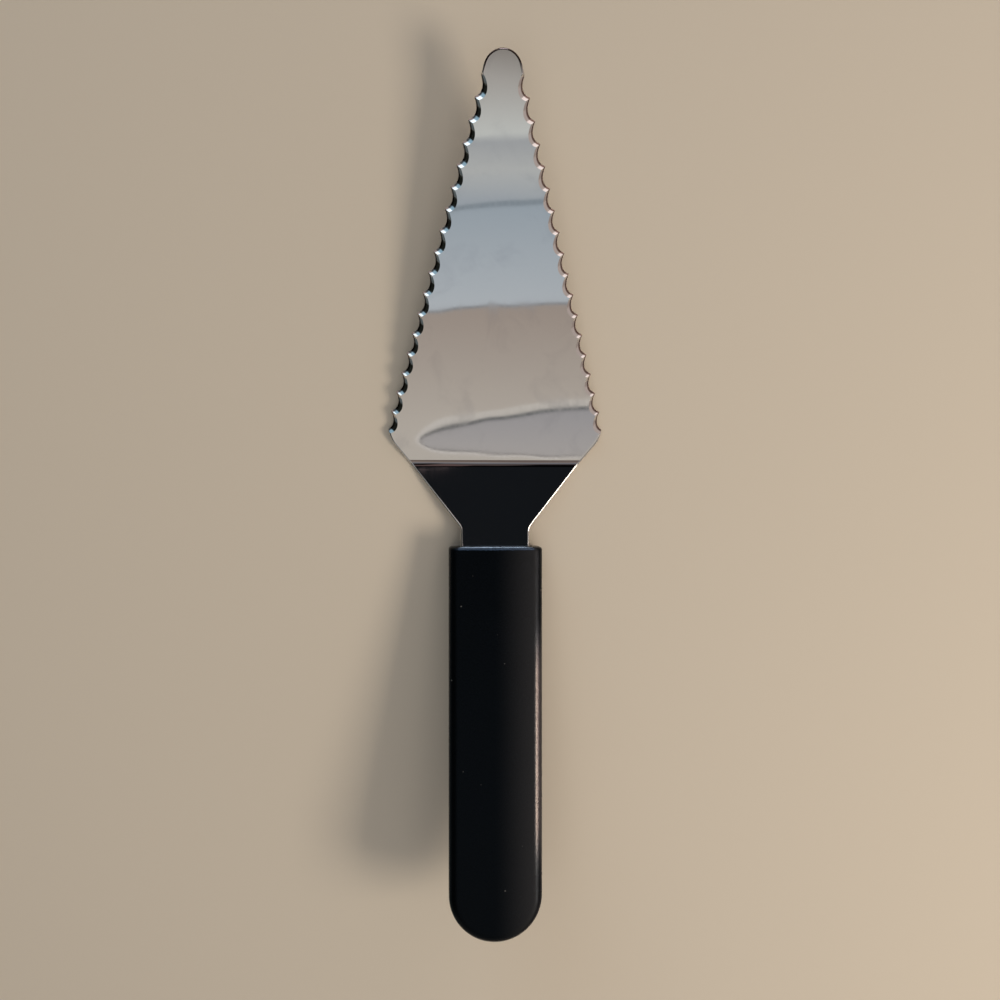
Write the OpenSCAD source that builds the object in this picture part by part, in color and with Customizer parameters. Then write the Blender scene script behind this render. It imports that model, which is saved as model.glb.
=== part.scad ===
/* [Blade] */
// Length of the blade, from the bend at its heel to its tip
blade_l = 120; // [90:1:160]
// Width across the shoulders, before their corners are rounded
blade_w = 68.6; // [50:0.2:90]
// Distance from the bend to the shoulders, along the blade
shoulder_at = 9.9; // [6.5:0.1:16]
// Width that the two long edges close to at the tip
tip_w = 9; // [6:0.1:20]
// Radius of the rounded corner at each shoulder
shoulder_r = 10; // [4:0.5:14]
// Radius of the plain round nose
nose_r = 5.5; // [3.5:0.1:6]
// Thickness of the steel sheet
sheet_t = 1.2; // [0.8:0.1:2.2]

/* [Serration] */
// Distance between two neighbouring points of the serrated edge
tooth_pitch = 6.25; // [4:0.05:9]
// Depth of each scallop below its two points, at the sharp lower face
scallop_depth = 1.55; // [0.6:0.05:2]
// Angle of the grinding wheel's axis from the blade's upright
grind_a = 55; // [30:1:60]
// Angle by which that lean is turned from straight across the edge, back towards the heel
grind_turn = 26; // [0:1:40]
// Length of plain edge from the bend to the middle of the first scallop
heel_plain = 13.9; // [12:0.1:30]
// Distance from the tip to the middle of the last scallop
nose_plain = 9.5; // [8:0.1:16]

/* [Neck] */
// Angle by which the blade is bent up from the line of the neck and handle
bend_a = 20; // [14:1:35]
// Radius of the bend on its hollow side
bend_r = 6; // [2:0.5:12]
// Length over which the sheet narrows from the shoulders to the neck
flare_l = 30.15; // [24:0.05:32]
// Distance from the bend to the mouth of the handle
neck_l = 26.1; // [24:0.1:45]
// Width of the narrow neck
neck_w = 21.7; // [14:0.1:26]
// Radius of the inner corner where the narrow neck starts to flare
neck_r = 4; // [1:0.5:8]

/* [Tang] */
// Length of full-width neck that goes into the handle
neck_in = 4; // [1:0.5:10]
// Length of the tang inside the handle, from the handle's mouth
tang_l = 88; // [60:1:100]
// Width of the tang
tang_w = 15; // [12:0.5:20]
// Radius of the tang's two end corners
tang_r = 3; // [1:0.5:5]
// Diameter of the locking holes that the handle is moulded through
lock_d = 6; // [3:0.5:8]
// Distance between neighbouring locking holes
lock_pitch = 26; // [12:1:40]
// Gap that the moulded handle leaves round the steel as it shrinks
shrink_gap = 0.05; // [0.02:0.01:0.2]

/* [Handle] */
// Length of the handle
handle_l = 123.4; // [110:0.2:150]
// Width of the handle
handle_w = 29.2; // [26:0.2:36]
// Thickness of the handle
handle_t = 12; // [9:0.5:18]
// Radius of the handle's long edges, which also runs round its end
handle_r = 3.2; // [1.5:0.1:4.2]
// Radius of the handle's upper and lower edge at the mouth
mouth_r = 1.3; // [0.5:0.1:2.5]
// Radius of the handle's two corners at the mouth, seen from above
mouth_corner_r = 0.9; // [0.3:0.1:3]

/* [Hidden] */
$fn = 96;
over = 1;

// Mean radius of the bend, and how far it reaches each way from the bend line
bend_mean_r = bend_r + sheet_t / 2;
bend_run = bend_mean_r * tan(bend_a / 2);

// Half widths of the sheet at a distance s from the bend, along the blade
edge_slope = (blade_w - tip_w) / 2 / (blade_l - shoulder_at);
flare_slope = (blade_w - neck_w) / 2 / flare_l;
edge_a = atan(edge_slope);
function edge_half(s) = blade_w / 2 - edge_slope * (s - shoulder_at);

// The nose's sides run parallel to the long edges and touch its circle
function nose_half(s) = nose_r / cos(edge_a) + edge_slope * (blade_l - nose_r - s);

// Scallops: their number and the places of their middles
last_scallop = blade_l - nose_plain;
scallop_step = tooth_pitch * cos(edge_a);
scallop_count = floor((last_scallop - heel_plain) / scallop_step) + 1;

// The wheel's cylinder cuts the sheet in an ellipse. reach_share is the ellipse's reach
// across the edge over the wheel's radius. The radius makes a chord of one pitch cut the
// ellipse scallop_depth deep, and grind_shift puts that chord's middle over the scallop's.
reach_share = norm([cos(grind_turn) / cos(grind_a), sin(grind_turn)]);
pitch_share = tooth_pitch / 2 * cos(grind_a) * reach_share;
grind_r = reach_share * pow(pitch_share, 2) / (2 * scallop_depth)
    + scallop_depth / (2 * reach_share);
grind_reach = grind_r * reach_share;
turn_share = pow(tan(grind_a) / reach_share, 2) * sin(grind_turn) * cos(grind_turn);
grind_shift = turn_share * (grind_reach - scallop_depth);

// Where the flare has narrowed to the neck, as a distance from the bend
flare_end = flare_l - shoulder_at;

// The sheet is drawn in the plane that halves the bend, so lengths along it shorten
plan_share = cos(bend_a / 2);
function plan(x, s) = [x, s * plan_share];

// Rounding of the corner p between two lines that leave it along unit vectors d1 and d2
function unit(v) = v / norm(v);
function corner_half_a(d1, d2) = acos(d1 * d2) / 2;
function corner_run(d1, d2, r) = r / tan(corner_half_a(d1, d2));
function corner_centre(p, d1, d2, r) = p + unit(d1 + d2) * r / sin(corner_half_a(d1, d2));

shoulder = plan(blade_w / 2, shoulder_at);
neck_corner = plan(neck_w / 2, -flare_end);
along_edge = unit(plan(edge_half(last_scallop), last_scallop) - shoulder);
along_flare = unit(neck_corner - shoulder);
shoulder_run = corner_run(along_edge, along_flare, shoulder_r);
shoulder_centre = corner_centre(shoulder, along_edge, along_flare, shoulder_r);
along_neck = [0, -1];
neck_run = corner_run(-along_flare, along_neck, neck_r);
neck_centre = corner_centre(neck_corner, -along_flare, along_neck, neck_r);
nose_centre = plan(0, blade_l) - [0, nose_r];

// Locking holes: as many as the tang has room for, in the middle of its length
tang_free = tang_l - neck_in - 2 * lock_d;
lock_count = floor(tang_free / lock_pitch) + 1;
lock_middle = -neck_l - (neck_in + tang_l) / 2;

// The server lies on the underside of its bend and on the lower edge of the handle's mouth.
// lie_a is the slope that this gives the neck: one straight line touches both rounded forms.
lie_run = neck_l + mouth_r - bend_run;
lie_rise = bend_mean_r + handle_t / 2 - mouth_r;
lie_radii = bend_mean_r + sheet_t / 2 - mouth_r;
lie_a = acos(lie_radii / norm([lie_run, lie_rise])) - atan2(lie_run, lie_rise);
heel_z = bend_mean_r + sheet_t / 2 - bend_run * sin(lie_a) - bend_mean_r * cos(lie_a);

// Ends of the lying server along Y: the rim of the nose that reaches furthest, because the
// sheet is cut square to the drawing plane, and the handle's round end
rise_a = bend_a - lie_a;
rim_run = sheet_t / 2 * abs(tan(bend_a / 2) * cos(rise_a) - sin(rise_a));
nose_end = blade_l * cos(rise_a) + rim_run;
end_arc = neck_l + handle_l - handle_r;
handle_end = end_arc * cos(lie_a) + (handle_t / 2 - handle_r) * sin(lie_a) + handle_r;
middle_y = (nose_end - handle_end) / 2;

// Sets a piece drawn along the neck's plane down on the table
module lie_down() {
    translate([0, -middle_y, heel_z])
        rotate([-lie_a, 0, 0])
            children();
}

// Turns a side view, drawn as (along, up), into a solid across the whole width
module across(width) {
    rotate([90, 0, 90])
        linear_extrude(height = width, center = true)
            children();
}

// Everything above one face of the bent sheet in side view: r is the radius of the bend
// on that face, and grow lengthens the drawing past the sheet's ends
module above_face(r, grow) {
    start = bend_run - neck_l - neck_in - grow;
    under = r * [sin(bend_a), -cos(bend_a)];
    finish = under + (blade_l + nose_r) * [cos(bend_a), sin(bend_a)];
    top = 2 * bend_mean_r + grow;
    translate([-bend_run, bend_mean_r]) {
        polygon([[start, -r], [0, -r], under, finish, finish + [grow, top], [start, top]]);
        circle(r = r);
    }
}

// Side view of the bent sheet: straight neck, round bend, straight blade
module sheet_side() {
    difference() {
        above_face(bend_mean_r + sheet_t / 2, 0);
        above_face(bend_r, over);
    }
}

// Right half of the sheet's outline, from the neck's end to the nose
right_side = [
    plan(neck_w / 2, -neck_l - neck_in - over),
    neck_corner,
    shoulder + shoulder_run * along_flare,
    shoulder + shoulder_run * along_edge,
    plan(edge_half(last_scallop), last_scallop),
    plan(nose_half(last_scallop), last_scallop),
    nose_centre + nose_r * [cos(edge_a), sin(edge_a)]
];

module both_sides() {
    children();
    mirror([1, 0, 0]) children();
}

// Outline of the blank, seen square to the plane that halves the bend
module blank_outline() {
    left_side = [for (i = [len(right_side) - 1:-1:0]) [-right_side[i].x, right_side[i].y]];
    polygon(concat(right_side, left_side));
    translate(nose_centre) circle(r = nose_r);
    both_sides() translate(shoulder_centre) circle(r = shoulder_r);
    both_sides()
        difference() {
            polygon([
                neck_corner,
                neck_corner - neck_run * along_flare,
                neck_centre,
                neck_corner + neck_run * along_neck
            ]);
            translate(neck_centre) circle(r = neck_r);
        }
}

// The bent, blanked sheet before its edges are ground
module formed_sheet() {
    intersection() {
        across(2 * blade_w) sheet_side();
        rotate([bend_a / 2, 0, 0])
            linear_extrude(height = 2 * blade_l, center = true)
                blank_outline();
    }
}

// One stroke of the grinding wheel: its axis leans inwards over the blade and back towards
// the heel, so it leaves a hollow bevel that is sharp at the lower face and wider at its
// heel end than at its tip end
module grind(s) {
    length = 2 * grind_r / cos(grind_a) + 4 * sheet_t;
    translate([edge_half(s), s, -sheet_t / 2])
        rotate([0, 0, edge_a])
            translate([grind_reach - scallop_depth, grind_shift, 0])
                rotate([0, -grind_a, grind_turn])
                    cylinder(r = grind_r, h = length, center = true);
}

module scallops() {
    rotate([bend_a, 0, 0])
        both_sides()
            for (i = [0:scallop_count - 1]) grind(last_scallop - i * scallop_step);
}

// The tang as it lies in the handle, grown by a gap all round
module tang(gap) {
    far_end = -neck_l - tang_l;
    width = tang_w + 2 * gap;
    length = tang_l - neck_in + gap;
    translate([0, 0, -sheet_t / 2 - gap])
        linear_extrude(height = sheet_t + 2 * gap) {
            translate([-width / 2, far_end - gap + tang_r])
                square([width, length - tang_r + over]);
            translate([-width / 2 + tang_r, far_end - gap])
                square([width - 2 * tang_r, 2 * tang_r]);
            both_sides()
                translate([width / 2 - tang_r, far_end - gap + tang_r])
                    circle(r = tang_r);
        }
}

// Places of the locking holes along the tang
module at_locks() {
    for (i = [0:lock_count - 1])
        translate([0, lock_middle + (i - (lock_count - 1) / 2) * lock_pitch, 0])
            children();
}

module lock_cylinders(diameter) {
    at_locks() cylinder(d = diameter, h = sheet_t + 2 * over, center = true);
}

// Section of the handle
module handle_section() {
    square([handle_w - 2 * handle_r, handle_t], center = true);
    square([handle_w, handle_t - 2 * handle_r], center = true);
    for (x = [-1, 1], y = [-1, 1])
        translate([x * (handle_w / 2 - handle_r), y * (handle_t / 2 - handle_r)])
            circle(r = handle_r);
}

// The handle's bar with its full round end, before its mouth is rounded
module handle_bar() {
    straight_l = handle_l - handle_w / 2;
    translate([0, -neck_l, 0])
        rotate([90, 0, 0])
            linear_extrude(height = straight_l)
                handle_section();
    translate([0, -neck_l - straight_l, 0])
        rotate([0, 0, 180])
            rotate_extrude(angle = 180)
                intersection() {
                    handle_section();
                    translate([0, -handle_t]) square([handle_w, 2 * handle_t]);
                }
}

// What rounding a corner to radius r cuts away, drawn from the centre of its arc
module corner_waste(r) {
    difference() {
        square(r + over);
        circle(r = r);
    }
}

// Handle with its edges eased where the neck goes in
module handle_body() {
    difference() {
        handle_bar();
        both_sides()
            translate([handle_w / 2 - mouth_corner_r, -neck_l - mouth_corner_r, 0])
                linear_extrude(height = 2 * handle_t, center = true)
                    corner_waste(mouth_corner_r);
        for (lower = [0, 1])
            mirror([0, 0, lower])
                across(2 * handle_w)
                    translate([-neck_l - mouth_r, handle_t / 2 - mouth_r])
                        corner_waste(mouth_r);
    }
}

// Room that the neck takes up inside the handle's mouth
module neck_pocket() {
    width = neck_w + 2 * shrink_gap;
    length = neck_in + shrink_gap;
    translate([-width / 2, -neck_l - length, -sheet_t / 2 - shrink_gap])
        cube([width, length + over, sheet_t + 2 * shrink_gap]);
}

module blade() {
    color("gainsboro")
        lie_down()
            difference() {
                union() {
                    formed_sheet();
                    tang(0);
                }
                scallops();
                lock_cylinders(lock_d);
            }
}

module handle() {
    color([0.09, 0.09, 0.1])
        lie_down()
            difference() {
                handle_body();
                neck_pocket();
                difference() {
                    tang(shrink_gap);
                    lock_cylinders(lock_d - 2 * shrink_gap);
                }
            }
}

blade();
handle();
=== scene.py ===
import math

import bmesh
import bpy
import numpy as np
from mathutils import Matrix


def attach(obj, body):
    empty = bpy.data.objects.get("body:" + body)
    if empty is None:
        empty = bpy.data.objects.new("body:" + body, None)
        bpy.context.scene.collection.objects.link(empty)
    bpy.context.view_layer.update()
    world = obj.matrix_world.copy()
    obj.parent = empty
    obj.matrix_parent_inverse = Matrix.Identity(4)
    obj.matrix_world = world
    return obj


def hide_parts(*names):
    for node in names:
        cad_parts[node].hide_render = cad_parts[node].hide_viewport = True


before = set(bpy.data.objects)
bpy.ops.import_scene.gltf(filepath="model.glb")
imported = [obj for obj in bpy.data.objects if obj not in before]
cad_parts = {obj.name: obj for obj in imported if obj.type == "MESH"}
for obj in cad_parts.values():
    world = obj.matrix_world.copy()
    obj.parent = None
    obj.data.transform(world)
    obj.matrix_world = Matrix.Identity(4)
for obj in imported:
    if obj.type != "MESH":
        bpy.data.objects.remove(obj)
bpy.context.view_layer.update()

# Sizes of the cake server in millimetres, the same as those of its solids. The names end in
# _l for a length, _w a width, _t a thickness, _r a radius and _a an angle.
blade_l = 120.0
blade_w = 68.6
shoulder_at = 9.9
tip_w = 9.0
shoulder_r = 10.0
nose_r = 5.5
sheet_t = 1.2
tooth_pitch = 6.25
scallop_depth = 1.55
grind_a = math.radians(55)
grind_turn = math.radians(26)
heel_plain = 13.9
nose_plain = 9.5
bend_a = math.radians(20)
bend_r = 6.0
flare_l = 30.15
neck_l = 26.1
neck_w = 21.7
neck_r = 4.0
neck_in = 4.0
shrink_gap = 0.05
handle_l = 123.4
handle_w = 29.2
handle_t = 12.0
handle_r = 3.2
mouth_r = 1.3
mouth_corner_r = 0.9

# Rounding that tumbling leaves on the blanked edges, above and below
rim_upper_r = 0.6
rim_lower_r = 0.2

# Rows of points along one scallop
scallop_rows = 24

# What follows from those sizes
bend_half = bend_a / 2
bend_mean_r = bend_r + sheet_t / 2
bend_run = bend_mean_r * math.tan(bend_half)
plan_share = math.cos(bend_half)
edge_slope = (blade_w - tip_w) / 2 / (blade_l - shoulder_at)
edge_a = math.atan(edge_slope)
last_scallop = blade_l - nose_plain
scallop_step = tooth_pitch * math.cos(edge_a)
scallop_count = int((last_scallop - heel_plain) / scallop_step) + 1
reach_share = math.hypot(math.cos(grind_turn) / math.cos(grind_a), math.sin(grind_turn))
pitch_share = tooth_pitch / 2 * math.cos(grind_a) * reach_share
grind_r = (
    reach_share * pitch_share ** 2 / (2 * scallop_depth) + scallop_depth / (2 * reach_share)
)
grind_reach = grind_r * reach_share
turn_share = (math.tan(grind_a) / reach_share) ** 2 * math.sin(grind_turn) * math.cos(grind_turn)
grind_shift = turn_share * (grind_reach - scallop_depth)
flare_end = flare_l - shoulder_at

# How it lies: on the underside of its bend and the lower edge of the handle's mouth
lie_run = neck_l + mouth_r - bend_run
lie_rise = bend_mean_r + handle_t / 2 - mouth_r
lie_radii = bend_mean_r + sheet_t / 2 - mouth_r
lie_a = math.acos(lie_radii / math.hypot(lie_run, lie_rise)) - math.atan2(lie_run, lie_rise)
heel_z = bend_mean_r + sheet_t / 2 - bend_run * math.sin(lie_a) - bend_mean_r * math.cos(lie_a)
rise_a = bend_a - lie_a
rim_run = sheet_t / 2 * abs(math.tan(bend_half) * math.cos(rise_a) - math.sin(rise_a))
nose_end = blade_l * math.cos(rise_a) + rim_run
handle_end = (
    (neck_l + handle_l - handle_r) * math.cos(lie_a)
    + (handle_t / 2 - handle_r) * math.sin(lie_a)
    + handle_r
)
middle_y = (nose_end - handle_end) / 2

MM = 0.001


def linear(hex_colour):
    """An sRGB hex colour as linear red, green, blue and alpha."""
    parts = np.array([int(hex_colour[i:i + 2], 16) for i in (1, 3, 5)]) / 255
    low = parts / 12.92
    high = ((parts + 0.055) / 1.055) ** 2.4
    return (*np.where(parts <= 0.04045, low, high).tolist(), 1.0)


def add_node(tree, kind, settings=None, inputs=None):
    """Adds one node; settings are its properties, inputs are values or sockets to link."""
    node = tree.nodes.new(kind)
    for name, value in (settings or {}).items():
        setattr(node, name, value)
    for name, value in (inputs or {}).items():
        if isinstance(value, bpy.types.NodeSocket):
            tree.links.new(value, node.inputs[name])
        else:
            node.inputs[name].default_value = value
    return node


def new_material(name):
    """An empty node material and its tree."""
    material = bpy.data.materials.new(name)
    material.use_nodes = True
    material.node_tree.nodes.clear()
    return material, material.node_tree


def make_object(name, points, faces, materials, face_slots=None, sharp_degrees=25):
    """A mesh object from points in millimetres; doubles are merged and faces turned outwards."""
    mesh = bpy.data.meshes.new(name)
    mesh.from_pydata(np.asarray(points, float).reshape(-1, 3) * MM, [], faces)
    for material in materials:
        mesh.materials.append(material)
    if face_slots is not None:
        mesh.polygons.foreach_set("material_index", np.asarray(face_slots, np.int32))
    merge_within = 0.002 * MM
    least_edge = 0.0001 * MM
    shape = bmesh.new()
    shape.from_mesh(mesh)
    bmesh.ops.remove_doubles(shape, verts=shape.verts, dist=merge_within)
    bmesh.ops.dissolve_degenerate(shape, edges=shape.edges, dist=least_edge)
    bmesh.ops.recalc_face_normals(shape, faces=shape.faces)
    shape.to_mesh(mesh)
    shape.free()
    mesh.polygons.foreach_set("use_smooth", np.ones(len(mesh.polygons), bool))
    mesh.set_sharp_from_angle(angle=math.radians(sharp_degrees))
    piece = bpy.data.objects.new(name, mesh)
    bpy.context.scene.collection.objects.link(piece)
    return piece


def grid_faces(rows, columns, first=0, flip=False):
    """Quads of a grid whose points are numbered row by row, starting at first."""
    start = first + np.arange(rows - 1)[:, None] * columns + np.arange(columns - 1)[None, :]
    quads = np.stack([start, start + 1, start + columns + 1, start + columns], axis=-1)
    quads = quads.reshape(-1, 4)
    return (quads[:, ::-1] if flip else quads).tolist()


def sheet_place(x, q, w):
    """Places on the bent sheet, in millimetres in the shared frame.

    x is across, q along the plane that halves the bend, and w above the middle of the sheet.
    The sheet turns by asin(q / (R - w)), held within half the bend on either side, and goes
    on straight from there: u = (q - (R - w) sin(turn)) / cos(turn). Its height over the
    halving plane is R / cos(half) - (R - w) cos(turn) + u sin(turn).
    """
    x, q, w = np.broadcast_arrays(x, q, w)
    reach = bend_mean_r - w
    turn = np.arcsin(np.clip(q / reach, -math.sin(bend_half), math.sin(bend_half)))
    run = (q - reach * np.sin(turn)) / np.cos(turn)
    up = bend_mean_r / plan_share - reach * np.cos(turn) + run * np.sin(turn)
    lean = bend_half - lie_a
    y = q * math.cos(lean) - up * math.sin(lean) - middle_y
    z = q * math.sin(lean) + up * math.cos(lean) + heel_z
    return np.stack([x, y, z], axis=-1)


def neck_place(x, along, up):
    """Places in the frame of neck and handle: along runs towards the blade, up is square to it."""
    x, along, up = np.broadcast_arrays(x, along, up)
    y = along * math.cos(lie_a) + up * math.sin(lie_a) - middle_y
    z = -along * math.sin(lie_a) + up * math.cos(lie_a) + heel_z
    return np.stack([x, y, z], axis=-1)


def unit(vector):
    """A vector divided by its length."""
    return vector / np.linalg.norm(vector)


def corner(point, d1, d2, r):
    """Centre and run of an arc of radius r that rounds the corner between directions d1 and d2."""
    half = math.acos(float(np.dot(d1, d2))) / 2
    return point + unit(d1 + d2) * r / math.sin(half), r / math.tan(half)


def arc_walk(centre, r, start, end, count):
    """Points and outward directions on an arc, at even angles from start to end."""
    angles = np.linspace(start, end, count)
    out = np.stack([np.cos(angles), np.sin(angles)], axis=-1)
    return centre + r * out, out


def line_walk(start, end, stations, out):
    """Points at the given shares of a line, all with the same outward direction."""
    points = start + stations[:, None] * (end - start)
    return points, np.broadcast_to(out, points.shape)


def outline_walk():
    """Right half of the blank's outline from the neck's end to the tip, seen square to the
    halving plane, with the outward direction at each point.

    The serrated edge is one straight line, and the nose's circle is walked outside its own
    edge by the distance between that line and the nose's parallel side.
    """
    shoulder = np.array([blade_w / 2, shoulder_at * plan_share])
    neck_corner = np.array([neck_w / 2, -flare_end * plan_share])
    along_edge = unit(np.array([-edge_slope, plan_share]))
    along_flare = unit(neck_corner - shoulder)
    along_neck = np.array([0.0, -1.0])
    shoulder_c, shoulder_run = corner(shoulder, along_edge, along_flare, shoulder_r)
    neck_c, neck_run = corner(neck_corner, -along_flare, along_neck, neck_r)
    nose_c = np.array([0.0, blade_l * plan_share - nose_r])

    neck_start = np.array([neck_w / 2, -(neck_l + neck_in) * plan_share])
    neck_stop = neck_corner + neck_run * along_neck
    neck_out = np.array([1.0, 0.0])
    flare_out = np.array([-along_flare[1], along_flare[0]])
    edge_out = np.array([along_edge[1], -along_edge[0]])
    flare_angle = math.atan2(flare_out[1], flare_out[0])
    edge_angle = math.atan2(edge_out[1], edge_out[0])

    # Stations along the flare stand close together over the bend
    flare_start = neck_corner - neck_run * along_flare
    flare_stop = shoulder + shoulder_run * along_flare
    flare_rise = flare_stop[1] - flare_start[1]
    bend_edge = (bend_mean_r + sheet_t / 2) * math.sin(bend_half)
    beside = bend_edge + 0.06
    heights = np.concatenate([
        np.linspace(flare_start[1], -beside, 24),
        np.linspace(-bend_edge, bend_edge, 49),
        np.linspace(beside, flare_stop[1], 12),
    ])
    flare_stations = (heights - flare_start[1]) / flare_rise

    # Stations along the edge: the middle and both points of each scallop are among them
    edge_start = shoulder + shoulder_run * along_edge
    last_middle = shoulder + (last_scallop - shoulder_at) * np.array([-edge_slope, plan_share])
    nose_off = float(np.dot(last_middle - nose_c, edge_out)) - nose_r
    edge_stop = nose_c + (nose_r + nose_off) * edge_out
    edge_length = float(np.linalg.norm(edge_stop - edge_start))
    pitch = scallop_step * math.hypot(edge_slope, plan_share)
    step = pitch / scallop_rows
    low = float(np.dot(edge_start - last_middle, along_edge))
    ticks = step * np.arange(math.ceil(low / step), math.floor((low + edge_length) / step) + 1)
    edge_stations = np.concatenate([[0.0], (ticks - low) / edge_length, [1.0]])

    parts = [
        line_walk(neck_start, neck_stop, np.linspace(0, 1, 12), neck_out),
        arc_walk(neck_c, -neck_r, 0.0, flare_angle, 20),
        line_walk(flare_start, flare_stop, flare_stations, flare_out),
        arc_walk(shoulder_c, shoulder_r, flare_angle, edge_angle, 64),
        line_walk(edge_start, edge_stop, edge_stations, edge_out),
        arc_walk(nose_c, nose_r + nose_off, edge_angle, math.pi / 2, 48),
    ]
    points = np.concatenate([part[0] for part in parts])
    outs = np.concatenate([part[1] for part in parts])
    keep = np.ones(len(points), bool)
    keep[1:] = np.linalg.norm(np.diff(points, axis=0), axis=1) > 1e-4
    past = points[:, 1] > last_middle[1]
    straight = (points[:, 1] >= edge_start[1]) & (points[:, 1] <= edge_stop[1])
    return points[keep], outs[keep], np.where(past, nose_off, 0.0)[keep], straight[keep]


def rim_levels():
    """Heights through the sheet from its upper to its lower face, even along both roundings."""
    quarter = np.linspace(0, math.pi / 2, 8)
    upper = sheet_t / 2 - rim_upper_r * (1 - np.cos(quarter))
    lower = -sheet_t / 2 + rim_lower_r * (1 - np.sin(quarter[::2]))
    middle = np.linspace(upper[-1], lower[0], 4)[1:-1]
    return np.concatenate([upper, middle, lower, [-sheet_t / 2]])


def plain_inset(w):
    """How far the rounded rim lies inside the blank at height w: r - sqrt(r^2 - d^2), where d
    is the distance past the start of the rounding."""
    upper = np.clip(w - (sheet_t / 2 - rim_upper_r), 0, rim_upper_r)
    lower = np.clip(-w - (sheet_t / 2 - rim_lower_r), 0, rim_lower_r)
    return (
        rim_upper_r - np.sqrt(rim_upper_r ** 2 - upper ** 2)
        + rim_lower_r - np.sqrt(rim_lower_r ** 2 - lower ** 2)
    )


# How far the wheel's axis leans inwards and back towards the heel, for each unit that it rises
lean_in = math.tan(grind_a) * math.cos(grind_turn)
lean_back = math.tan(grind_a) * math.sin(grind_turn)


def wheel_inset(e, h):
    """How far the grinding wheel's hollow lies inside the edge line, at a distance e along it
    from the scallop's middle and at height h over the lower face.

    The wheel's cylinder of radius r cuts a level plane in an ellipse with half axes a = r /
    cos(g) and r, turned by t. With y = e - shift + h lean_back and its half length along the
    edge w = sqrt(a^2 sin(t)^2 + r^2 cos(t)^2), the inset is depth - reach + h lean_in
    + (a r sqrt(w^2 - y^2) - y (a^2 - r^2) sin(t) cos(t)) / w^2, and nothing past the wheel.
    """
    long_r = grind_r / math.cos(grind_a)
    span = math.hypot(long_r * math.sin(grind_turn), grind_r * math.cos(grind_turn))
    skew = (long_r ** 2 - grind_r ** 2) * math.sin(grind_turn) * math.cos(grind_turn)
    y = e - grind_shift + h * lean_back
    inside = np.abs(y) < span
    root = np.sqrt(np.where(inside, span ** 2 - y ** 2, 0))
    hollow = (long_r * grind_r * root - y * skew) / span ** 2
    return np.where(inside, scallop_depth - grind_reach + h * lean_in + hollow, -blade_w)


def blade_rows():
    """Half of the blade as a grid: along its outline, and in each row from the middle of the
    upper face out to the rim, down it, and back to the middle of the lower face.

    At each point of the outline the inset is the larger of the rounded rim's and the nearest
    wheel's. Where the outline isn't the straight edge, the wheel's inset is found along the
    outline's own inward direction by putting it back into its formula a few times. On the
    straight edge the rows slide back by h lean_back, so that they follow the hollows.
    """
    points, outs, base, straight = outline_walk()
    levels = rim_levels()
    x = points[:, 0]
    s = points[:, 1] / plan_share
    tangent = np.stack([-outs[:, 1], outs[:, 0] / plan_share], axis=-1)
    tangent = tangent / np.linalg.norm(tangent, axis=1)[:, None]
    inward = np.stack([-tangent[:, 1], tangent[:, 0]], axis=-1)

    edge_along = np.array([-math.sin(edge_a), math.cos(edge_a)])
    edge_in = np.array([-math.cos(edge_a), -math.sin(edge_a)])
    middle = np.array([blade_w / 2 - edge_slope * (last_scallop - shoulder_at), last_scallop])
    offset = np.stack([x, s], axis=-1) - middle
    along = offset @ edge_along
    off_line = (offset @ edge_in)[:, None]
    along_share = (inward @ edge_along)[:, None]
    least_share = 0.2
    in_share = np.maximum((inward @ edge_in)[:, None], least_share)
    w = levels[None, :]
    h = w + sheet_t / 2

    from_ends = np.minimum(along - along[straight].min(), along[straight].max() - along)
    weight = np.clip(from_ends / (2 * sheet_t), 0, 1)[:, None]
    slide = -weight * h * lean_back
    inset = np.zeros((len(x), len(levels)))
    passes = 8
    for _ in range(passes):
        e = along[:, None] + slide + inset * along_share
        nearest = np.clip(np.round(-(e + h * lean_back) / tooth_pitch), 0, scallop_count - 1)
        ground = (wheel_inset(e + nearest * tooth_pitch, h) - off_line) / in_share
        inset = np.clip(ground, 0, 2 * sheet_t + scallop_depth)
    inset = np.maximum(base[:, None] + plain_inset(w), ground)

    rim_x = x[:, None] + slide * tangent[:, :1] + inset * inward[:, :1]
    rim_q = (s[:, None] + slide * tangent[:, 1:] + inset * inward[:, 1:]) * plan_share
    rim_x[-1] = 0

    # On each face the rows start from the middle line, spread like the outline's own points,
    # and one of their points stands close to the rim, so that the flat is shaded flat
    q = points[:, 1:]
    upper_middle = np.where(q > 0, q * rim_q[-1, 0] / q[-1], q)
    lower_middle = np.where(q > 0, q * rim_q[-1, -1] / q[-1], q)
    shares = np.concatenate([np.linspace(0, 1, 8)[:-1], [0.985, 1.0]])[None, :]
    upper_q = upper_middle + (rim_q[:, :1] - upper_middle) * shares
    lower_q = lower_middle + (rim_q[:, -1:] - lower_middle) * shares[:, ::-1]
    upper = sheet_place(rim_x[:, :1] * shares, upper_q, sheet_t / 2)
    rim = sheet_place(rim_x, rim_q, w)[:, 1:-1]
    lower = sheet_place(rim_x[:, -1:] * shares[:, ::-1], lower_q, -sheet_t / 2)
    grid = np.concatenate([upper, rim, lower], axis=1)
    first_rim = shares.size - 1
    return grid, first_rim, first_rim + len(levels) - 1


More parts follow.
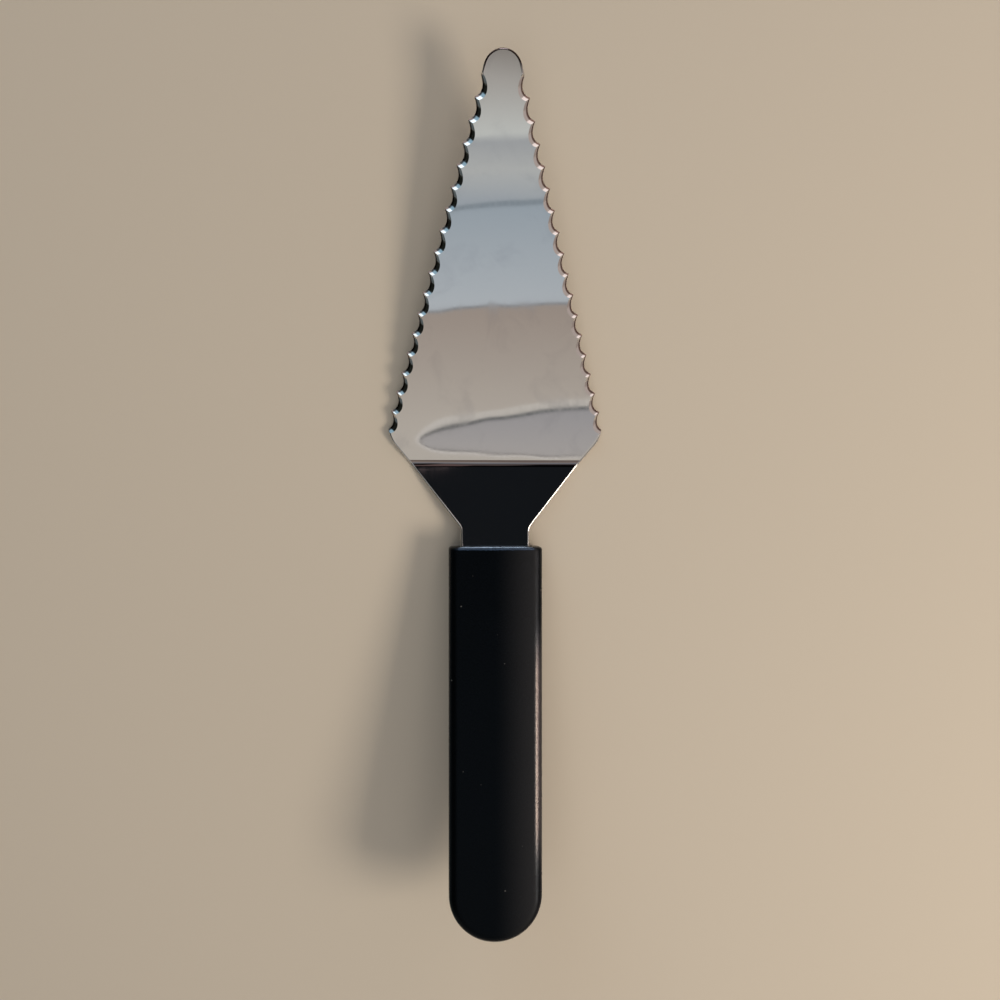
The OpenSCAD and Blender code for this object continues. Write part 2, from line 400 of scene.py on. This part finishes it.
def make_blade(materials):
    """The blade, bend, flare and neck as one closed piece: the grid and its mirror image."""
    grid, first_rim, last_rim = blade_rows()
    rows, columns = grid.shape[:2]
    mirrored = grid * np.array([-1, 1, 1])
    points = np.concatenate([grid.reshape(-1, 3), mirrored.reshape(-1, 3)])
    half = rows * columns
    faces = grid_faces(rows, columns) + grid_faces(rows, columns, half, flip=True)
    column = np.tile(np.arange(columns - 1), rows - 1)
    on_rim = (column >= first_rim) & (column < last_rim)
    slots = np.where(on_rim, 1, 0)
    slots = np.concatenate([slots, slots, [0]])
    cap = list(range(columns)) + list(range(half + columns - 1, half - 1, -1))
    faces.append(cap)
    return make_object("serving_blade", points, faces, materials, slots, 20)


def grip_section(half_w, half_t, r, count):
    """Right half of a rounded oblong from its upper to its lower middle, for arrays of half
    widths and half thicknesses: quarter circles of radius r joined by straight lines."""
    quarter = np.linspace(0, math.pi / 2, count)
    # Places along the flat, as shares of its half width
    flat = np.array([0, 0.3, 0.6, 0.85, 0.985])
    half_w = np.atleast_1d(half_w)[:, None]
    half_t = np.atleast_1d(half_t)[:, None]
    flat_x = (half_w - r) * flat[None, :]
    arc_x = half_w - r + r * np.sin(quarter)[None, :]
    arc_z = half_t - r + r * np.cos(quarter)[None, :]
    upper_x = np.concatenate([flat_x, arc_x], axis=1)
    upper_z = np.concatenate([np.broadcast_to(half_t, flat_x.shape), arc_z], axis=1)
    x = np.concatenate([upper_x, upper_x[:, ::-1]], axis=1)
    z = np.concatenate([upper_z, -upper_z[:, ::-1]], axis=1)
    return x, z


def make_grip(material):
    """The handle as one closed piece.

    Along the bar each row is half a rounded oblong. At the mouth it shrinks by
    r - sqrt(r^2 - (r - d)^2), d being the distance from the mouth, and at the far end the
    same half section turns half a circle about the upright through the bar's last middle.
    """
    bar_l = handle_l - handle_w / 2
    mouth_turn = np.linspace(0, math.pi / 2, 9)
    depth = mouth_r * (1 - np.cos(mouth_turn))
    corner_d = np.minimum(depth, mouth_corner_r)
    corner_rise = mouth_corner_r ** 2 - (mouth_corner_r - corner_d) ** 2
    shrink_w = mouth_corner_r - np.sqrt(corner_rise)
    shrink_t = mouth_r * (1 - np.sin(mouth_turn))
    bar = np.linspace(mouth_r, bar_l, 40)
    # A row close to each end of the straight bar keeps the bar's sides shaded flat
    close = 0.05
    depth = np.concatenate([depth, [mouth_r + close], bar[1:-1], [bar_l - close, bar_l]])
    extra = len(depth) - len(shrink_w)
    shrink_w = np.concatenate([shrink_w, np.zeros(extra)])
    shrink_t = np.concatenate([shrink_t, np.zeros(extra)])
    arc_points = 14
    x, z = grip_section(handle_w / 2 - shrink_w, handle_t / 2 - shrink_t, handle_r, arc_points)
    bar_rows = neck_place(x, -neck_l - depth[:, None], z)

    turn = np.linspace(0, math.pi, 97)[1:-1]
    end_x, end_z = grip_section(handle_w / 2, handle_t / 2, handle_r, arc_points)
    end_rows = neck_place(
        end_x * np.cos(turn)[:, None],
        -neck_l - bar_l - end_x * np.sin(turn)[:, None],
        np.broadcast_to(end_z, (len(turn), end_z.shape[1])),
    )
    mirror = np.array([-1, 1, 1])
    walk = np.concatenate([bar_rows, end_rows, (bar_rows * mirror)[::-1]])

    # The mouth's flat face runs in to a slot for the neck, which is closed at its bottom. Of
    # a quarter's points, the first 1 / run_on go across the slot and the rest go down its side.
    count = x.shape[1]
    slot_half_w = neck_w / 2 + shrink_gap
    slot_half_t = sheet_t / 2 + shrink_gap
    run_on = 1.3
    share = np.linspace(0, 1, count // 2) * run_on
    across = np.minimum(share, 1)
    level = 1 - np.maximum(share - 1, 0) / (run_on - 1)
    slot_x = np.concatenate([across, across[::-1]]) * slot_half_w
    slot_z = np.concatenate([level, -level[::-1]]) * slot_half_t
    lip = neck_place(slot_x, -neck_l, slot_z)
    bottom = neck_place(slot_x, -neck_l - neck_in - shrink_gap, slot_z)
    face = np.stack([bottom, lip, bar_rows[0]])
    rows = walk.shape[0]
    points = np.concatenate([
        walk.reshape(-1, 3), face.reshape(-1, 3), (face * mirror).reshape(-1, 3),
    ])
    faces = grid_faces(rows, count)
    faces += grid_faces(3, count, rows * count)
    faces += grid_faces(3, count, (rows + 3) * count, flip=True)
    right = rows * count
    left = (rows + 3) * count
    faces.append(list(range(right, right + count)) + list(range(left + count - 1, left - 1, -1)))
    return make_object("moulded_grip", points, faces, [material], None, 30)


def band(tree, value, middle, half, soft):
    """A socket that is 1 where value lies within half of middle, and fades to 0 over soft
    beyond that; the three lengths are in millimetres."""
    off = add_node(tree, "ShaderNodeMath", {"operation": "SUBTRACT"}, {0: value, 1: middle * MM})
    aside = add_node(tree, "ShaderNodeMath", {"operation": "ABSOLUTE"}, {0: off.outputs[0]})
    fade = add_node(tree, "ShaderNodeMapRange", {"interpolation_type": "SMOOTHSTEP"}, {
        "Value": aside.outputs[0], "From Min": (half + soft) * MM, "From Max": half * MM,
    })
    return fade.outputs[0]


def brushed_stainless():
    """Cold-rolled stainless steel with a bright, lightly brushed finish: the eye sees a clear
    image of the room with faint lengthwise streaks, a few wiped patches, and along the bend a
    dull pinkish band that is partly the press tool's scuff and partly painted dark reflection."""
    material, tree = new_material("brushed_stainless_sheet")
    place = add_node(tree, "ShaderNodeTexCoord").outputs["Object"]
    # Brushing lines are about 0.05 mm wide; they are drawn 0.3 mm wide and 25 mm long to show
    lines = add_node(tree, "ShaderNodeMapping", None, {"Vector": place, "Scale": (3300, 40, 40)})
    streaks = add_node(tree, "ShaderNodeTexNoise", None, {
        "Vector": lines.outputs[0], "Scale": 1.0, "Detail": 3.0, "Roughness": 0.6,
    })
    # Wiped and handled patches, about 12 mm across
    smudge = add_node(tree, "ShaderNodeTexNoise", None, {
        "Vector": place, "Scale": 85.0, "Detail": 4.0, "Roughness": 0.55, "Distortion": 0.6,
    })
    haze = add_node(tree, "ShaderNodeMapRange", {"interpolation_type": "SMOOTHSTEP"}, {
        "Value": smudge.outputs["Fac"], "From Min": 0.5, "From Max": 0.75,
        "To Min": 0.0, "To Max": 1.0,
    })
    # The press tool dulls the bend a little. The darker pinkish bands, most on the neck's side,
    # are painted reflection, and the line where the bend begins is painted shade in its crease
    split = add_node(tree, "ShaderNodeSeparateXYZ", None, {0: place})
    near_bend = band(tree, split.outputs["Y"], -middle_y + 0.15, 0.95, 0.25)
    rubbed_and_painted_dark = band(tree, split.outputs["Y"], -middle_y - 0.4, 0.35, 0.35)
    crease_painted_shade = band(tree, split.outputs["Y"], -middle_y + 1.0, 0.05, 0.3)
    # Its streaks are 0.3 mm wide and 40 mm long, across the sheet
    across = add_node(tree, "ShaderNodeMapping", None, {"Vector": place, "Scale": (25, 3300, 60)})
    drawn = add_node(tree, "ShaderNodeTexNoise", None, {
        "Vector": across.outputs[0], "Scale": 1.0, "Detail": 2.0, "Roughness": 0.5,
    })
    scuff_and_reflection_share = add_node(tree, "ShaderNodeMapRange", None, {
        "Value": drawn.outputs["Fac"], "From Min": 0.35, "From Max": 0.65,
        "To Min": 0.55, "To Max": 1.0,
    })
    scuff_and_painted_reflection = add_node(tree, "ShaderNodeMath", {"operation": "MULTIPLY"}, {
        0: near_bend, 1: scuff_and_reflection_share.outputs[0],
    })
    rough_streak = add_node(tree, "ShaderNodeMapRange", None, {
        "Value": streaks.outputs["Fac"], "From Min": 0.3, "From Max": 0.7,
        "To Min": 0.022, "To Max": 0.042,
    })
    rough = add_node(tree, "ShaderNodeMath", {"operation": "MULTIPLY_ADD"}, {
        0: haze.outputs[0], 1: 0.025, 2: rough_streak.outputs[0],
    })
    clean = add_node(tree, "ShaderNodeMix", {"data_type": "RGBA"}, {
        0: haze.outputs[0], 6: linear("#DBDAD8"), 7: linear("#D3D2D1"),
    })
    # Painted reflection: the bend is tinted darker and pinkish over a little real scuff
    dulled_and_painted_dark = add_node(tree, "ShaderNodeMix", {"data_type": "RGBA"}, {
        0: scuff_and_painted_reflection.outputs[0], 6: clean.outputs[2], 7: linear("#8A7E7C"),
    })
    worn_and_painted_dark = add_node(tree, "ShaderNodeMix", {"data_type": "RGBA"}, {
        0: rubbed_and_painted_dark, 6: dulled_and_painted_dark.outputs[2], 7: linear("#655A59"),
    })
    tint = add_node(tree, "ShaderNodeMix", {"data_type": "RGBA"}, {
        0: crease_painted_shade, 6: worn_and_painted_dark.outputs[2], 7: linear("#7A6E6C"),
    })
    waves = add_node(tree, "ShaderNodeTexNoise", None, {
        "Vector": place, "Scale": 60.0, "Detail": 1.0,
    })
    soft = add_node(tree, "ShaderNodeBump", None, {
        "Strength": 1.0, "Distance": 0.00002, "Height": waves.outputs["Fac"],
    })
    grooves = add_node(tree, "ShaderNodeBump", None, {
        "Strength": 1.0, "Distance": 0.0000005, "Height": streaks.outputs["Fac"],
        "Normal": soft.outputs[0],
    })
    steel = add_node(tree, "ShaderNodeBsdfPrincipled", None, {
        "Base Color": tint.outputs[2], "Metallic": 1.0, "Roughness": rough.outputs[0],
        "Normal": grooves.outputs[0],
    })
    add_node(tree, "ShaderNodeOutputMaterial", None, {"Surface": steel.outputs[0]})
    return material


def ground_stainless():
    """The same steel where a wheel has ground the scallops and tumbling has broken the cut
    edges: brighter and smoother, with fine scratches round each hollow, painted brownish shade
    along the lower half of the sheet's edge, and a nose painted dark as a painted reflection."""
    material, tree = new_material("wheel_ground_stainless")
    place = add_node(tree, "ShaderNodeTexCoord").outputs["Object"]
    # Grinding lines of about 0.02 mm, drawn 0.17 mm wide
    lines = add_node(tree, "ShaderNodeMapping", None, {"Vector": place, "Scale": (900, 900, 6000)})
    scratch = add_node(tree, "ShaderNodeTexNoise", None, {
        "Vector": lines.outputs[0], "Scale": 1.0, "Detail": 2.0, "Roughness": 0.5,
    })
    rough = add_node(tree, "ShaderNodeMapRange", None, {
        "Value": scratch.outputs["Fac"], "From Min": 0.3, "From Max": 0.7,
        "To Min": 0.1, "To Max": 0.18,
    })
    clean = add_node(tree, "ShaderNodeMix", {"data_type": "RGBA"}, {
        0: scratch.outputs["Fac"], 6: linear("#D4D2CF"), 7: linear("#E0DFDD"),
    })
    # Height over the middle of the blade's sheet
    across = add_node(tree, "ShaderNodeVectorMath", {"operation": "DOT_PRODUCT"}, {
        0: place, 1: (0.0, -math.sin(rise_a), math.cos(rise_a)),
    })
    middle_w = middle_y * math.sin(rise_a) + heel_z * math.cos(rise_a)
    # Painted shade: the lower half of the sheet's edge is darkened brownish
    low_edge_painted_shade = add_node(tree, "ShaderNodeMapRange", {"interpolation_type": "SMOOTHSTEP"}, {
        "Value": across.outputs["Value"], "From Min": middle_w * MM,
        "From Max": (middle_w - 0.3) * MM,
    })
    brown_painted_shade = add_node(tree, "ShaderNodeMix", {"data_type": "RGBA"}, {
        0: low_edge_painted_shade.outputs[0], 6: clean.outputs[2], 7: linear("#75625A"),
    })
    # Painted reflection: the rim is darkened over the last few millimetres before the tip
    split = add_node(tree, "ShaderNodeSeparateXYZ", None, {0: place})
    tip_y = nose_end - middle_y
    nose = add_node(tree, "ShaderNodeMapRange", {"interpolation_type": "SMOOTHSTEP"}, {
        "Value": split.outputs["Y"], "From Min": (tip_y - 6.5) * MM,
        "From Max": (tip_y - 3.0) * MM,
    })
    tint = add_node(tree, "ShaderNodeMix", {"data_type": "RGBA"}, {
        0: nose.outputs[0], 6: brown_painted_shade.outputs[2], 7: linear("#40332E"),
    })
    grooves = add_node(tree, "ShaderNodeBump", None, {
        "Strength": 1.0, "Distance": 0.000002, "Height": scratch.outputs["Fac"],
    })
    steel = add_node(tree, "ShaderNodeBsdfPrincipled", None, {
        "Base Color": tint.outputs[2], "Metallic": 1.0, "Roughness": rough.outputs[0],
        "Normal": grooves.outputs[0],
    })
    add_node(tree, "ShaderNodeOutputMaterial", None, {"Surface": steel.outputs[0]})
    return material


def moulded_polypropylene():
    """Black polypropylene moulded in a spark-eroded mould: the eye sees a matt black with a fine
    grain that roughens its highlights, a few polished patches, an upper face lightened towards
    its right side by painted sheen, an edge that handling has polished on one side, and a little
    dust."""
    material, tree = new_material("black_moulded_polypropylene")
    place = add_node(tree, "ShaderNodeTexCoord").outputs["Object"]
    # Spark grain of about 0.1 mm, drawn 0.5 mm across
    grain = add_node(tree, "ShaderNodeTexNoise", None, {
        "Vector": place, "Scale": 2000.0, "Detail": 2.0, "Roughness": 0.6,
    })
    # Handling has polished some patches, about 15 mm across
    wear = add_node(tree, "ShaderNodeTexNoise", None, {
        "Vector": place, "Scale": 65.0, "Detail": 3.0, "Roughness": 0.5,
    })
    rough = add_node(tree, "ShaderNodeMapRange", None, {
        "Value": wear.outputs["Fac"], "From Min": 0.3, "From Max": 0.7,
        "To Min": 0.23, "To Max": 0.29,
    })
    # Dust specks up to 0.6 mm wide, in some of the cells of 4.5 mm: the surface crosses a few
    specks = add_node(tree, "ShaderNodeTexVoronoi", None, {"Vector": place, "Scale": 220.0})
    speck = add_node(tree, "ShaderNodeMapRange", None, {
        "Value": specks.outputs["Distance"], "From Min": 0.03, "From Max": 0.07,
        "To Min": 0.7, "To Max": 0.0,
    })
    chosen = add_node(tree, "ShaderNodeMath", {"operation": "GREATER_THAN"}, {
        0: specks.outputs["Color"], 1: 0.6,
    })
    dust = add_node(tree, "ShaderNodeMath", {"operation": "MULTIPLY"}, {
        0: speck.outputs[0], 1: chosen.outputs[0],
    })
    # Painted sheen: the upper face is lightened towards its right side, as the light from the
    # right would
    split = add_node(tree, "ShaderNodeSeparateXYZ", None, {0: place})
    sheen_from = -1
    sheen_to = 17
    to_right = add_node(tree, "ShaderNodeMapRange", {"interpolation_type": "SMOOTHSTEP"}, {
        "Value": split.outputs["X"], "From Min": sheen_from * MM, "From Max": sheen_to * MM,
    })
    height = add_node(tree, "ShaderNodeVectorMath", {"operation": "DOT_PRODUCT"}, {
        0: place, 1: (0.0, math.sin(lie_a), math.cos(lie_a)),
    })
    upper_face = handle_t / 2 - middle_y * math.sin(lie_a) + heel_z * math.cos(lie_a)
    on_top = add_node(tree, "ShaderNodeMapRange", {"interpolation_type": "SMOOTHSTEP"}, {
        "Value": height.outputs["Value"], "From Min": (upper_face - 0.9) * MM,
        "From Max": (upper_face - 0.1) * MM,
    })
    painted_sheen = add_node(tree, "ShaderNodeMath", {"operation": "MULTIPLY"}, {
        0: to_right.outputs[0], 1: on_top.outputs[0],
    })
    clean = add_node(tree, "ShaderNodeMix", {"data_type": "RGBA"}, {
        0: painted_sheen.outputs[0], 6: linear("#050709"), 7: linear("#323132"),
    })
    tint = add_node(tree, "ShaderNodeMix", {"data_type": "RGBA"}, {
        0: dust.outputs[0], 6: clean.outputs[2], 7: linear("#6A6966"),
    })
    # Handling has polished the middle 42 mm of the long edge on the right side, fading over 20 mm
    grip_middle = -(neck_l + handle_l / 2) * math.cos(lie_a) - middle_y
    edge_middle = band(tree, split.outputs["Y"], grip_middle, 21, 20)
    edge_x = handle_w / 2 - handle_r
    on_edge = add_node(tree, "ShaderNodeMapRange", {"interpolation_type": "SMOOTHSTEP"}, {
        "Value": split.outputs["X"], "From Min": (edge_x + 0.2) * MM,
        "From Max": (edge_x + 1.2) * MM,
    })
    over_side = add_node(tree, "ShaderNodeMapRange", {"interpolation_type": "SMOOTHSTEP"}, {
        "Value": height.outputs["Value"], "From Min": (upper_face - 2.2) * MM,
        "From Max": (upper_face - 1.2) * MM,
    })
    edge_line = add_node(tree, "ShaderNodeMath", {"operation": "MULTIPLY"}, {
        0: on_edge.outputs[0], 1: over_side.outputs[0],
    })
    polished = add_node(tree, "ShaderNodeMath", {"operation": "MULTIPLY"}, {
        0: edge_line.outputs[0], 1: edge_middle,
    })
    shine = add_node(tree, "ShaderNodeMapRange", None, {
        "Value": polished.outputs[0], "To Min": 0.12, "To Max": 1.0,
    })
    shine_tint = add_node(tree, "ShaderNodeMix", {"data_type": "RGBA"}, {
        0: polished.outputs[0], 6: linear("#A9BBD2"), 7: linear("#FFEFEC"),
    })
    relief = add_node(tree, "ShaderNodeBump", None, {
        "Strength": 1.0, "Distance": 0.00009, "Height": grain.outputs["Fac"],
    })
    plastic = add_node(tree, "ShaderNodeBsdfPrincipled", None, {
        "Base Color": tint.outputs[2], "Roughness": rough.outputs[0], "IOR": 1.49,
        "Specular IOR Level": shine.outputs[0], "Specular Tint": shine_tint.outputs[2],
        "Normal": relief.outputs[0],
    })
    add_node(tree, "ShaderNodeOutputMaterial", None, {"Surface": plastic.outputs[0]})
    return material


def stage_sheet(name, points, material):
    """A flat stage piece through the given points in millimetres."""
    mesh = bpy.data.meshes.new(name)
    mesh.from_pydata(np.asarray(points, float) * MM, [], [list(range(len(points)))])
    mesh.materials.append(material)
    sheet = bpy.data.objects.new(name, mesh)
    bpy.context.scene.collection.objects.link(sheet)
    return sheet


def painted_floor():
    """Matt pale floor paint."""
    material, tree = new_material("matt_floor_paint")
    paint = add_node(tree, "ShaderNodeBsdfPrincipled", None, {
        "Base Color": linear("#D9CFC0"), "Roughness": 0.9, "Specular IOR Level": 0.0,
    })
    add_node(tree, "ShaderNodeOutputMaterial", None, {"Surface": paint.outputs[0]})
    return material


# Height of the ceiling's panels, and the x of the ceiling that the blade's middle line mirrors
ceiling_z = 900
mirror_x = 57

# Half the width of a panel, and the strength at which the steel shows a panel's own tone
panel_half = 420
panel_strength = 1.45

# How far from the middle the upright cards stand
card_away = 1300


def glowing_cloth(name, near, far, near_tone, far_tone, strength=panel_strength):
    """Lit cloth whose tone runs evenly along Y from near to far, both in millimetres."""
    material, tree = new_material(name)
    place = add_node(tree, "ShaderNodeTexCoord").outputs["Object"]
    split = add_node(tree, "ShaderNodeSeparateXYZ", None, {0: place})
    share = add_node(tree, "ShaderNodeMapRange", None, {
        "Value": split.outputs["Y"], "From Min": near * MM, "From Max": far * MM,
    })
    tone = add_node(tree, "ShaderNodeMix", {"data_type": "RGBA"}, {
        0: share.outputs[0], 6: linear(near_tone), 7: linear(far_tone),
    })
    glow = add_node(tree, "ShaderNodeEmission", None, {
        "Color": tone.outputs[2], "Strength": strength,
    })
    add_node(tree, "ShaderNodeOutputMaterial", None, {"Surface": glow.outputs[0]})
    return material


def stage_strip(name, first_row, second_row, material, lights_room=True):
    """A stage piece between two rows of points in millimetres, unseen by the camera itself.
    One that doesn't light the room only shows in what mirrors it, and throws no shadow."""
    mesh = bpy.data.meshes.new(name)
    points = np.concatenate([first_row, second_row]) * MM
    mesh.from_pydata(points, [], grid_faces(2, len(first_row)))
    mesh.materials.append(material)
    strip = bpy.data.objects.new(name, mesh)
    bpy.context.scene.collection.objects.link(strip)
    strip.visible_camera = False
    strip.visible_diffuse = lights_room
    strip.visible_shadow = lights_room


def soft_panel(name, near, far, near_tone, far_tone, half_x=panel_half, height=ceiling_z):
    """A cloth panel over the table. Each edge is its place along Y over mirror_x, its slant
    and its bow: y = place + slant (x - mirror_x) - bow (x - mirror_x)^2."""
    x = np.linspace(-half_x, half_x, 33)
    rows = []
    for place, slant, bow in (near, far):
        off = x - mirror_x
        y = place + slant * off - bow * off ** 2
        rows.append(np.stack([x, y, np.full_like(x, height)], axis=-1))
    cloth = glowing_cloth(name + "_cloth", near[0], far[0], near_tone, far_tone)
    stage_strip(name, rows[0], rows[1], cloth)


def round_panel(name, above, below, near_tone, far_tone, height):
    """A cloth panel with a round left end, grown by above and below.

    With c = (190 - x) / 230 and h = sqrt(1 - c^2), its edges run at -401 + 0.09 (x + 40)
    + 27.5 h + above and at -401 + 0.012 (x + 40) - 21.5 h - below, and both growths shrink
    with h towards the round end.
    """
    turn = np.linspace(0, math.pi / 2, 33)
    x = np.concatenate([190 - (230 + above / 2) * np.cos(turn), [panel_half]])
    h = np.concatenate([np.sin(turn), [1.0]])
    grown = np.minimum(2 * h, 1)
    upper = -401 + 0.09 * (x + 40) + 27.5 * h + above * grown
    lower = -401 + 0.012 * (x + 40) - 21.5 * h - below * grown
    level = np.full_like(x, height)
    cloth = glowing_cloth(name + "_cloth", -362, -425, near_tone, far_tone)
    stage_strip(
        name, np.stack([x, upper, level], axis=-1), np.stack([x, lower, level], axis=-1), cloth,
    )


def ceiling_patch(name, x, near, far, tone, height):
    """A cloth of one tone over the table between two edges, given as their Y at each x."""
    x = np.asarray(x, float)
    rows = [np.stack([x, np.asarray(y, float), np.full_like(x, height)], axis=-1)
            for y in (near, far)]
    stage_strip(name, rows[0], rows[1], glowing_cloth(name + "_cloth", 0, 1, tone, tone))


def floor_reflection_sheet(name, x0, x1, tone):
    """A glowing sheet on the floor between two x beside the server, a painted reflection of the
    floor in one tone. It shows only in what mirrors the floor: the scallops and rounded edges
    that face down and outwards."""
    x = np.array([x0, x1], float)
    rows = [np.stack([x, np.full_like(x, y), np.full_like(x, 1)], axis=-1) for y in (-500, 300)]
    cloth = glowing_cloth(name + "_cloth", 0, 1, tone, tone, 1.0)
    stage_strip(name, rows[0], rows[1], cloth, lights_room=False)


def upright_card(name, turns, rises, tone, strength, lights_room=True, away=card_away):
    """A curved card round the table, between two bearings and two heights in degrees as seen
    from the middle; bearings count from +X towards +Y."""
    bearing = np.radians(np.linspace(turns[0], turns[1], 17))
    rows = [
        np.stack([
            away * np.cos(bearing), away * np.sin(bearing),
            np.full_like(bearing, away * math.tan(math.radians(rise))),
        ], axis=-1)
        for rise in rises
    ]
    cloth = glowing_cloth(name + "_cloth", -away, away, tone, tone, strength)
    stage_strip(name, rows[0], rows[1], cloth, lights_room)


def aim(thing, place, target, up):
    """Puts a lamp or camera at a place, in millimetres, turned towards a target."""
    back = unit(np.asarray(place, float) - target)
    right = unit(np.cross(up, back))
    turned = np.stack([right, np.cross(back, right), back], axis=1)
    matrix = np.eye(4)
    matrix[:3, :3] = turned
    matrix[:3, 3] = np.asarray(place, float) * MM
    thing.matrix_world = Matrix(matrix.tolist())


def area_lamp(name, width, length, watts, tone, place):
    """A flat lamp, its sizes in metres, at a place in millimetres and facing the middle."""
    light = bpy.data.lights.new(name, "AREA")
    light.shape = "RECTANGLE"
    light.size = width
    light.size_y = length
    light.energy = watts
    light.color = linear(tone)[:3]
    lamp = bpy.data.objects.new(name, light)
    aim(lamp, place, np.zeros(3), np.array([0, 1.0, 0]))
    bpy.context.scene.collection.objects.link(lamp)
    return lamp


def studio():
    """Floor, the ceiling's panels that the blade mirrors, a dark flag that the neck and the
    handle mirror, cards round the table that the scallops and rounded edges mirror, the key
    light from the right, a fill light from above and an even surround."""
    half = 3000
    corners = [(-half, -half, 0), (half, -half, 0), (half, half, 0), (-half, half, 0)]
    stage_sheet("floor", corners, painted_floor())

    # Each panel has its edges' place, slant and bow, and its tones at both edges
    soft_panel("nose_panel", (95, 0, 0), (35, 0, 0), "#5A5049", "#9C9995")
    soft_panel("front_panel", (35, 0, 0), (-19, 0.16, 0), "#9C9995", "#B4B6B4")
    soft_panel("edge_panel", (-19, 0.16, 0), (-29, 0.16, 0), "#B4B6B4", "#96999C")
    soft_panel("cool_panel", (-29, 0.16, 0), (-61, 0.14, 0), "#96999C", "#A6A8A8")
    soft_panel("dim_panel", (-61, 0.14, 0), (-95, 0.12, 0), "#A6A8A8", "#949BA2")
    soft_panel("sky_panel", (-101, 0.1, 0), (-218, 0.07, 0.00028), "#909AA3", "#A5ABB1")
    soft_panel("shade_panel", (-70, 0, 0), (-260, 0, 0), "#76818A", "#77787B",
               height=ceiling_z + 3)
    soft_panel("warm_panel", (-221, 0.07, 0.00028), (-380, 0, 0), "#92877F", "#A9A29A")
    soft_panel("heel_panel", (-380, 0, 0), (-560, 0, 0), "#A9A29A", "#A9A59F")
    round_panel("round_glow", 14, 6, "#B3AEA8", "#BDB8B4", ceiling_z - 1)
    round_panel("round_border", 4.5, 2.2, "#56585A", "#474443", ceiling_z - 2)
    round_panel("round_panel", 0, 0, "#918F91", "#9E9A98", ceiling_z - 3)

    # The neck and the handle mirror the flag, and the patches under it streak the bend
    flag_z = ceiling_z - 20
    patch_z = ceiling_z - 30
    flag_half = 250
    flag_x = (-flag_half, 60, 100, 150, 190, flag_half)
    ceiling_patch("dark_flag", flag_x, (95, 90, -15, -15, 110, 110), (260,) * 6,
                  "#121417", flag_z)
    soft_panel("far_flag", (260, 0, 0), (900, 0, 0), "#0B0C0E", "#0B0C0E", flag_half, flag_z)
    ceiling_patch("pink_patch", (-90, -36, -10, 8, 22), (26, 26, -77, 0, 45),
                  (125, 125, 122, 118, 80), "#B8A8A5", patch_z)
    ceiling_patch("dark_patch", (-90, -45, -36, -24, -13), (-100, -103, -115, -125, -95),
                  (26, 26, 26, -30, -80), "#1C1718", patch_z)
    ceiling_patch("far_patch", (-90, -36, -9, 8), (212, 216, 220, 222), (262,) * 4,
                  "#66595A", patch_z)

    # The left scallops mirror the first three cards, and the right ones the next two
    upright_card("left_card", (145, 225), (-2, 52), "#1A1C18", 1.0)
    upright_card("window_side_card", (124, 145), (0, 38), "#A3C6DC", 0.9)
    upright_card("window_card", (100, 124), (0, 38), "#E2F0FB", 1.9)
    upright_card("doorway_card", (48, 73), (0, 34), "#FFEDE8", 1.2)
    upright_card("right_card", (-14, 47), (-2, 30), "#C6B7B1", 0.9)

    # The edge of the handle's mouth mirrors one window, and its right edge the other
    upright_card("mouth_window", (74, 99), (14, 44), "#BED0E6", 27.0, lights_room=False)
    upright_card("edge_window", (-12, -4), (17, 31), "#FFE8E6", 8.0, lights_room=False,
                 away=card_away - 100)
    # Painted reflections of the floor: shaded floor on the left, lit floor on the right
    floor_reflection_sheet("left_table_cloth", -500, -36, "#5E6668")
    floor_reflection_sheet("right_table_cloth", 36, 500, "#A4958E")

    key_away = 900
    bearing = math.radians(-17)
    rise = math.radians(40)
    towards = np.array([
        math.cos(rise) * math.cos(bearing), math.cos(rise) * math.sin(bearing), math.sin(rise),
    ])
    area_lamp("key_light", 0.26, 0.38, 3.7, "#FFF0DC", towards * key_away)

    # An even light from above that shows in no mirror
    fill_z = 850.0
    fill = area_lamp("fill_light", 0.9, 0.9, 1.05, "#FFF6EC", np.array([0, 0, fill_z]))
    fill.visible_glossy = False
    fill.visible_camera = False

    world = bpy.data.worlds.new("surround")
    bpy.context.scene.world = world
    world.use_nodes = True
    world.node_tree.nodes.clear()
    pale = add_node(world.node_tree, "ShaderNodeBackground", None, {
        "Color": linear("#D2CDC8"), "Strength": 0.45,
    })
    add_node(world.node_tree, "ShaderNodeOutputWorld", None, {"Surface": pale.outputs[0]})


def make_camera():
    """A phone's camera, square over the neck and handle and a little to the left. It looks at
    a place on the neck, given across it and along it."""
    camera_away = 315.8
    camera_side = math.radians(3.5)
    looks_at_x = 1.58
    looks_at_along = -11.5
    target = neck_place(looks_at_x, looks_at_along, 0.0)
    up_neck = np.array([0, math.sin(lie_a), math.cos(lie_a)])
    along_neck = np.array([0, math.cos(lie_a), -math.sin(lie_a)])
    sideways = np.array([1.0, 0, 0])
    back = math.cos(camera_side) * up_neck - math.sin(camera_side) * sideways
    data = bpy.data.cameras.new("camera")
    data.lens = 36
    data.sensor_width = 36
    data.clip_start = 0.01
    camera = bpy.data.objects.new("camera", data)
    bpy.context.scene.collection.objects.link(camera)
    aim(camera, target + camera_away * back, target, along_neck)
    bpy.context.scene.camera = camera


make_camera()
studio()
bpy.context.scene.view_settings.view_transform = "Standard"

blade = make_blade([brushed_stainless(), ground_stainless()])
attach(blade, "root")
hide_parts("blade")

grip = make_grip(moulded_polypropylene())
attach(grip, "root")
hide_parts("handle")
